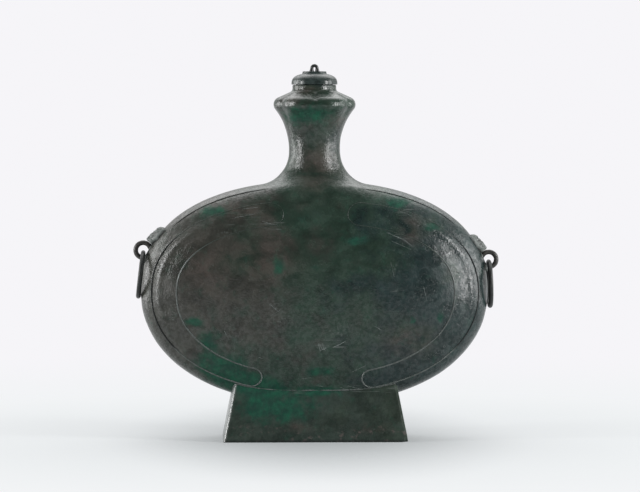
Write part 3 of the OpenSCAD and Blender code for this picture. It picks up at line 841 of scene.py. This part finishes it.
def make_mask(side, look):
    """A beast's face in relief: a grid laid on the flank and raised point by point, with a back."""
    flank = FLANKS[side]
    height = MASK_TOP + MASK_SKIRT - MASK_BOTTOM
    bm = bmesh.new()
    bmesh.ops.create_grid(bm, x_segments=MASK_COLUMNS, y_segments=MASK_ROWS, size=1)
    relief = bm.verts.layers.float.new(RELIEF)
    buried = set()
    for v in bm.verts:
        across, up = v.co.x * (MASK_W + MASK_SKIRT), MASK_BOTTOM + height * (v.co.y + 1) / 2
        skin = flank.skin_depth(across, up)
        top = mask_height(across, up, skin)
        if top < skin - SUNK / 2:
            buried.add(v)
        around = [mask_height(across + dx, up + dz, skin) for dx, dz in NEIGHBOURS]
        # Height over its neighbours, read by the mask's finish for its painted shade in recesses and painted highlight
        # on raised points
        v[relief] = top - sum(around) / len(around)
        grain = sum(high * noise(Vector((across, up, seed)) * fine) for high, seed, fine in MASK_GRAIN)
        v.co = flank.place(across, up, top + grain)
    bmesh.ops.delete(bm, geom=[f for f in bm.faces if all(v in buried for v in f.verts)], context="FACES")
    back = bmesh.ops.extrude_face_region(bm, geom=list(bm.faces), use_keep_orig=True)["geom"]
    bmesh.ops.translate(bm, vec=flank.place(0, 0, 0) - flank.place(0, 0, MASK_BACK),
                        verts=[v for v in back if isinstance(v, bmesh.types.BMVert)])
    piece(bm, f"mask_{side}_relief", "flask", look, [f"mask_{side}"], sharp=60)


def make_staple(side, look):
    """The rod bent round at the mask's chin that holds the ring, its two legs let into the pads."""
    flank = FLANKS[side]
    start = atan2(PAD_H - EYE_OUT, STAPLE_LEG)
    ends = [flank.place(0, -EYE_DOWN + leg, PAD_H - SUNK) for leg in (STAPLE_LEG, -STAPLE_LEG)]
    bow, radii = [], []
    for i, t in enumerate(spread(start, pi - start, STAPLE_STEPS)):
        bow.append(flank.place(0, -EYE_DOWN + STAPLE_R * cos(t), EYE_OUT + STAPLE_R * sin(t)))
        to_end = min(i, STAPLE_STEPS - i) / STAPLE_STEPS
        radii.append(STAPLE_ROD_R * (1.0 + 0.12 * exp(-to_end * 24) - 0.03 * noise(bow[-1] / 3)))
    end_r = [STAPLE_ROD_R * 1.05]
    rod_piece([ends[0], *bow, ends[1]], end_r + radii + end_r, f"ring_staple_{side}_rod", "flask",
              look, [f"ring_staple_{side}"], sides=24, closed=False)


def make_ring(side, look):
    """A free ring of cast rod, a little uneven and worn thin where it hangs in its staple."""
    flank = FLANKS[side]
    eye = flank.middle + flank.out * EYE_OUT - flank.up * EYE_DOWN
    pin = Vector((eye.x, 0, eye.z - RING_DROP))
    lean = asin((BELLY_A + RING_ROD_R + HANG_GAP - pin.x) / (2 * RING_R))
    down = Vector((sin(lean), 0, -cos(lean)))
    path, radii = [], []
    for t in spread(0, tau, RING_STEPS)[:-1]:
        p = pin + down * RING_R * (1 - cos(t)) + Vector((0, RING_R * sin(t), 0))
        p.x *= flank.sign
        path.append(p)
        radii.append(RING_ROD_R * (0.99 - 0.1 * bell(1 - cos(t), 0.05) - 0.02 * noise(p / 5)))
    rod_piece(path, radii, f"ring_{side}_rod", f"{side}_handle", look, [f"ring_{side}"], sides=28)


class Nodes:
    """A tree of shader nodes; its methods return sockets."""

    def __init__(self, tree):
        self.tree = tree

    def add(self, kind, inputs=None, **settings):
        """A node with its inputs linked or set, and its outputs returned."""
        node = self.tree.nodes.new(kind)
        for key, value in settings.items():
            setattr(node, key, value)
        for key, value in (inputs or {}).items():
            self.put(value, node.inputs[key])
        return node.outputs

    def put(self, value, socket):
        """Links a socket or sets a value; a colour is three numbers."""
        if isinstance(value, bpy.types.NodeSocket):
            self.tree.links.new(value, socket)
        else:
            socket.default_value = (*value, 1) if socket.type == "RGBA" else value

    def calc(self, operation, a, b=0.0):
        return self.add("ShaderNodeMath", {0: a, 1: b}, operation=operation)[0]

    def times(self, a, b):
        return self.calc("MULTIPLY", a, b)

    def plus(self, a, b):
        return self.calc("ADD", a, b)

    def most(self, a, b):
        return self.calc("MAXIMUM", a, b)

    def step(self, value, low, high, out_low=0.0, out_high=1.0):
        """A soft step from out_low to out_high as the value goes from low to high."""
        ends = {"Value": value, "From Min": low, "From Max": high, "To Min": out_low, "To Max": out_high}
        return self.add("ShaderNodeMapRange", ends, interpolation_type="SMOOTHSTEP")[0]

    def mixed(self, share, a, b):
        """Two shaders mixed."""
        return self.add("ShaderNodeMixShader", {0: share, 1: a, 2: b})[0]


class Surface(Nodes):
    """The nodes of one finish, worked out in millimetres in the piece's own place."""

    def __init__(self, name):
        self.material = bpy.data.materials.new(name)
        self.material.use_nodes = True
        super().__init__(self.material.node_tree)
        self.shader = self.tree.nodes["Principled BSDF"]
        place = self.add("ShaderNodeTexCoord")["Object"]
        self.at = self.add("ShaderNodeVectorMath", {0: place, "Scale": 1 / MM}, operation="SCALE")[0]
        self.x, _, self.z = self.add("ShaderNodeSeparateXYZ", {0: self.at})[:3]

    def noise(self, size, detail, rough, shift, stretch=(1, 1, 1), twist=0.0):
        """Cloudy noise from 0 to 1 whose clouds are about size across."""
        scaled = self.add("ShaderNodeMapping", {"Vector": self.at, "Scale": [1 / (size * k) for k in stretch],
                                                "Location": [shift] * 3})[0]
        return self.add("ShaderNodeTexNoise", {"Vector": scaled, "Scale": 1.0, "Detail": detail,
                                               "Roughness": rough, "Distortion": twist})[0]

    def mix(self, share, a, b, blend="MIX"):
        """Two colours mixed."""
        return self.add("ShaderNodeMix", {0: share, 6: a, 7: b}, data_type="RGBA", blend_type=blend)[2]

    def bumps(self, layers):
        """The direction of a surface with relief, from pairs of a height from 0 to 1 and its depth in millimetres."""
        normal = None
        for height, depth in layers:
            inputs = {"Height": height, "Distance": depth * MM, "Strength": 1.0}
            normal = self.add("ShaderNodeBump", inputs | ({"Normal": normal} if normal else {}))[0]
        return normal

    def finish(self, colour, roughness, normal, specular):
        for value, name in ((colour, "Base Color"), (roughness, "Roughness"), (normal, "Normal"),
                            (specular, "Specular IOR Level")):
            self.put(value, self.shader.inputs[name])
        return self.material


def paint_cover(mesh):
    """Stores on each point how far it lies in the places of its own face, front or back."""
    layer = mesh.attributes.new(COVER, "FLOAT_COLOR", "POINT")
    values = []
    for v in mesh.vertices:
        x, y, z = v.co / MM
        for front, back in PLACES:
            cover = 0
            for px, pz, half_w, half_h in (front if y < 0 else back):
                if abs(x - px) < 2.2 * half_w and abs(z - pz) < 2.2 * half_h:
                    cover += exp(-1.4 * (((x - px) / half_w) ** 2 + ((z - pz) / half_h) ** 2))
            values.append(min(cover, 1) * smooth((abs(y) - 2) / 10))
    layer.data.foreach_set("color", values)


def skin_finish(name, brown, green, blue, rough=0.25, grain=0.26, specular=0.46, foot_wear_and_highlight=False):
    """The patina of the casting: brown to the left, green in the middle and bluish to the right, over a fine grain."""
    s = Surface(name)
    painted = s.add("ShaderNodeAttribute", attribute_name=COVER)
    malachite, browned, rubbed = s.add("ShaderNodeSeparateColor", {0: painted["Color"]})
    n = {key: s.noise(*numbers) for key, numbers in PATINA_NOISES.items()}

    drift = s.plus(s.times(s.x, 1 / DRIFT_SPAN), s.times(s.plus(n["clouds"], -0.5), 2.4))
    colour = s.mix(s.step(drift, -0.55, 0.0), brown, green)
    colour = s.mix(s.step(drift, 0.05, 0.6), colour, blue)
    colour = s.mix(s.times(browned, s.step(n["mottle"], 0.3, 0.6, 0.0, 0.85)), colour, BROWN_BRONZE)
    shade = s.plus(s.step(n["mottle"], 0.3, 0.7, 0.72, 1.28), s.step(n["fine"], 0.3, 0.7, -0.1, 0.1))
    colour = s.mix(1.0, colour, s.add("ShaderNodeCombineXYZ", {0: shade, 1: shade, 2: shade})[0], "MULTIPLY")

    ragged = s.times(s.plus(n["ragged"], -0.5), 1.6)
    malachite = s.most(s.step(s.plus(malachite, ragged), 0.0, 0.9), s.step(n["stray"], 0.66, 0.74, 0.0, 0.5))
    verdigris = s.mix(s.step(n["verdigris"], 0.35, 0.7), DARK_MALACHITE, BRIGHT_MALACHITE)
    colour = s.mix(s.times(malachite, 0.85), colour, verdigris)

    worn = s.most(s.times(rubbed, s.step(n["fine"], 0.5, 0.68)), s.step(n["flecks"], 0.7, 0.78, 0.0, 0.5))
    worn = s.most(worn, s.times(s.step(painted["Alpha"], 0.1, 0.5), s.step(n["hair"], 0.58, 0.66)))
    colour = s.mix(s.times(worn, 0.55), colour, PALE_WEAR_AND_HIGHLIGHT)

    roughness = s.plus(s.step(n["mottle"], 0.3, 0.7, rough - 0.05, rough + 0.06), s.times(malachite, 0.14))
    roughness = s.plus(roughness, s.step(s.z, 225, 268, 0.0, -0.14))
    shine = s.times(s.step(malachite, 0.0, 1.0, specular, 0.4 * specular), s.step(n["pits"], 0.38, 0.6, 0.6, 1.16))
    if foot_wear_and_highlight:
        colour, roughness, shine = paint_foot_wear_and_highlight(s, colour, roughness, shine)
    return s.finish(colour, roughness, s.bumps([(n["dents"], 0.14), (n["pits"], 0.1), (n["grain"], grain)]), shine)


def paint_foot_wear_and_highlight(s, colour, roughness, shine):
    """The foot's left corner painted pale as a painted highlight and made shinier, its right one dull, with brown
    flecks low down and a darker bottom rim.
    """
    corner = (FOOT_A - FOOT_EDGE_R, FOOT_A - FOOT_EDGE_R / 2)
    lean = s.times(s.z, LEAN_A)
    # Painted highlight: the left corner is lightened in colour, besides more shine and less roughness
    bright = s.step(s.calc("SUBTRACT", lean, s.x), *corner)
    shine = s.plus(shine, s.times(bright, 0.5))
    shine = s.times(shine, s.step(s.plus(lean, s.x), *corner, 1.0, 0.2))
    roughness = s.plus(roughness, s.times(bright, -0.16))
    colour = s.mix(s.times(bright, 0.8), colour, PALE_WEAR_AND_HIGHLIGHT)
    spots = s.times(s.step(s.noise(*FOOT_SPOTS), 0.56, 0.66, 0.0, 0.75), s.step(s.z, 17, 9))
    colour = s.mix(spots, colour, FOOT_FLECKS)
    # Darker along the bottom rim of the foot
    return s.mix(s.step(s.z, 3.2, 0.8, 0.0, 0.7), colour, NEAR_BLACK), roughness, shine


def thread_finish(name, tone):
    """The threads, which make_threads wears into the skin at the top: pale low down, in part wear and in part a
    painted highlight, and darkened down the flanks as painted shade.
    """
    s = Surface(name)
    fine = s.noise(*THREAD_FINE)
    # Pale low down: in part wear, in part a painted highlight along the raised line
    colour = s.mix(s.step(s.z, 168, 146), tone, PALE_THREAD)
    colour = s.mix(s.times(s.step(fine, 0.42, 0.62), 0.6), colour, tone)
    # Painted shade: the threads are darkened down the flanks, where a shadow line runs beside them
    flank = s.times(s.step(s.calc("ABSOLUTE", s.x), 112, 118), s.step(s.z, 62, 76))
    colour = s.mix(flank, colour, NEAR_BLACK)
    return s.finish(colour, s.step(flank, 0.0, 1.0, 0.36, 0.85), s.bumps([(fine, 0.06)]), 0.4)


def plain(name, rgb, roughness, grain, specular=0.5, relief_dirt_wear_shade_and_highlight=False):
    """A small piece's finish: one tone with darker and paler clouds, fine grain and dirty pits."""
    s = Surface(name)
    cloud, fine = s.noise(*PIECE_CLOUDS), s.noise(*PIECE_FINE)
    dark, pale, dirty, hollow, raised = ([c * share for c in rgb] for share in (0.6, 1.35, 0.35, 0.18, 1.7))
    colour = s.mix(s.step(cloud, 0.3, 0.7), dark, pale)
    colour = s.mix(s.step(fine, 0.36, 0.24), colour, dirty)
    colour = s.mix(s.times(s.step(fine, 0.6, 0.76), 0.7), colour, PALE_WEAR_AND_HIGHLIGHT)
    # Painted shade and dirt darken the relief's recesses; painted highlight and wear lighten its raised points
    if relief_dirt_wear_shade_and_highlight:
        height = s.add("ShaderNodeAttribute", attribute_name=RELIEF)["Fac"]
        colour = s.mix(s.step(height, 0.0, -0.25, 0.0, 0.85), colour, hollow)
        colour = s.mix(s.step(height, 0.05, 0.6, 0.0, 0.6), colour, raised)
    rough = s.plus(s.step(cloud, 0.3, 0.7, roughness - 0.06, roughness + 0.06), s.step(fine, 0.3, 0.7, -0.06, 0.06))
    return s.finish(colour, rough, s.bumps([(s.noise(*PIECE_DENTS), 0.06), (fine, grain)]), specular)


def make_floor():
    """A round pale floor that takes the object's shadow, carries a painted shadow in an oval round the object, and
    fades into the white of the studio.
    """
    s = Surface("floor paper")
    s.tree.nodes.remove(s.shader)
    squeezed = s.add("ShaderNodeVectorMath", {0: s.at, 1: (1, FLOOR_SQUEEZE, 1)}, operation="MULTIPLY")[0]
    near, far = (s.add("ShaderNodeVectorMath", {0: way}, operation="LENGTH")["Value"] for way in (squeezed, s.at))
    # Painted shadow: the paper's tone darkens in an oval round the object, over the shadow the lamps cast
    tone = s.mix(s.step(near, *FLOOR_PAINTED_SHADOW_SPAN), FLOOR_PAINTED_SHADOW, FLOOR_NEAR)
    tone = s.mix(s.step(far, *FLOOR_FADE_SPAN), tone, STUDIO_WHITE)
    glow = s.add("ShaderNodeEmission", {"Color": tone, "Strength": 1.0})[0]
    paper = s.add("ShaderNodeBsdfDiffuse", {"Color": PAPER})[0]
    ray = s.add("ShaderNodeLightPath")
    seen = s.most(s.most(ray["Is Camera Ray"], ray["Is Glossy Ray"]), ray["Is Transmission Ray"])
    share = s.times(seen, s.step(far, *FLOOR_GLOW_STEP))
    s.put(s.mixed(share, paper, glow), s.tree.nodes["Material Output"].inputs["Surface"])
    bm = bmesh.new()
    bmesh.ops.create_circle(bm, cap_ends=True, segments=FLOOR_SIDES, radius=FLOOR_R)
    floor = placed(bm, "studio_floor", s.material)


def make_world():
    """White where it is looked at, and softly dark in front, as a studio is behind the camera."""
    world = bpy.data.worlds.new("studio")
    world.use_nodes = True
    n = Nodes(world.node_tree)
    ray = n.add("ShaderNodeLightPath")
    depth = n.add("ShaderNodeSeparateXYZ", {0: n.add("ShaderNodeTexCoord")["Generated"]})["Y"]
    soft = n.add("ShaderNodeBackground", {"Color": FILL_TONE, "Strength": FILL_POWER})[0]
    strength = n.step(depth, *MIRRORED_STEP)
    mirrored = n.add("ShaderNodeBackground", {"Strength": strength})[0]
    seen = n.add("ShaderNodeBackground", {"Color": STUDIO_WHITE})[0]
    clear = n.most(ray["Is Camera Ray"], ray["Is Transmission Ray"])
    both = n.mixed(clear, n.mixed(ray["Is Glossy Ray"], soft, mirrored), seen)
    n.put(both, n.tree.nodes["World Output"].inputs["Surface"])
    bpy.context.scene.world = world


def aimed(data, aim, bearing, rise, distance):
    """Puts a lamp or camera at a bearing and a rise from a point, in degrees, to look at that point."""
    obj = bpy.data.objects.new(data.name, data)
    turn, lift = radians(bearing), radians(rise)
    way = Vector((sin(turn) * cos(lift), -cos(turn) * cos(lift), sin(lift)))
    obj.location = aim + distance * way
    obj.rotation_euler = (-way).to_track_quat("-Z", "Y").to_euler()
    bpy.context.scene.collection.objects.link(obj)
    return obj


def make_lamps():
    for name, (bearing, rise, distance, size, power, soft) in LAMPS.items():
        lamp = bpy.data.lights.new(f"{name}_lamp", "AREA")
        lamp.shape = "RECTANGLE"
        lamp.size, lamp.size_y = size
        lamp.energy = power
        obj = aimed(lamp, LAMP_AIM, bearing, rise, distance)
        obj.visible_camera = False
        obj.visible_diffuse = soft


def make_camera():
    """A long lens in front, a little above and to the left, as the photograph was taken."""
    camera = bpy.data.cameras.new("camera")
    camera.sensor_width, camera.lens = CAMERA_SENSOR, CAMERA_LENS
    bpy.context.scene.camera = aimed(camera, CAMERA_AIM, *CAMERA_PLACE)


make_flask(skin_finish("body patina", (0.028, 0.029, 0.024), (0.016, 0.0305, 0.0215), (0.0095, 0.019, 0.0185)))
thread = thread_finish("thread wear, painted highlight and shade", (0.022, 0.032, 0.025))
make_threads(thread)
make_foot(skin_finish("foot patina", (0.023, 0.033, 0.026), (0.02, 0.03, 0.024), (0.021, 0.031, 0.0225),
                      rough=0.42, grain=0.08, specular=0.28, foot_wear_and_highlight=True))
make_seam(thread)
# The shoulder edges are near black
make_shoulder_edges(plain("dark shoulder edge", NEAR_BLACK, 0.7, 0.02, 0.3))
make_scratches(plain("bare scratches", (0.15, 0.168, 0.16), 0.4, 0.02, 0.4))
make_lid(plain("lid patina", (0.019, 0.028, 0.026), 0.3, 0.04, 0.4))
make_lid_loop(plain("loop patina", (0.014, 0.016, 0.016), 0.34, 0.04))
mask = plain("mask patina", (0.055, 0.063, 0.058), 0.5, 0.2, relief_dirt_wear_shade_and_highlight=True)
staple = plain("staple patina", (0.028, 0.026, 0.024), 0.4, 0.05, 0.4)
ring = plain("ring patina", (0.015, 0.017, 0.0165), 0.42, 0.04, 0.34)
for side in SIDES:
    make_mask(side, mask)
    make_staple(side, staple)
    make_ring(side, ring)
make_floor()
make_world()
make_lamps()
make_camera()
bpy.context.scene.view_settings.view_transform = "Standard"
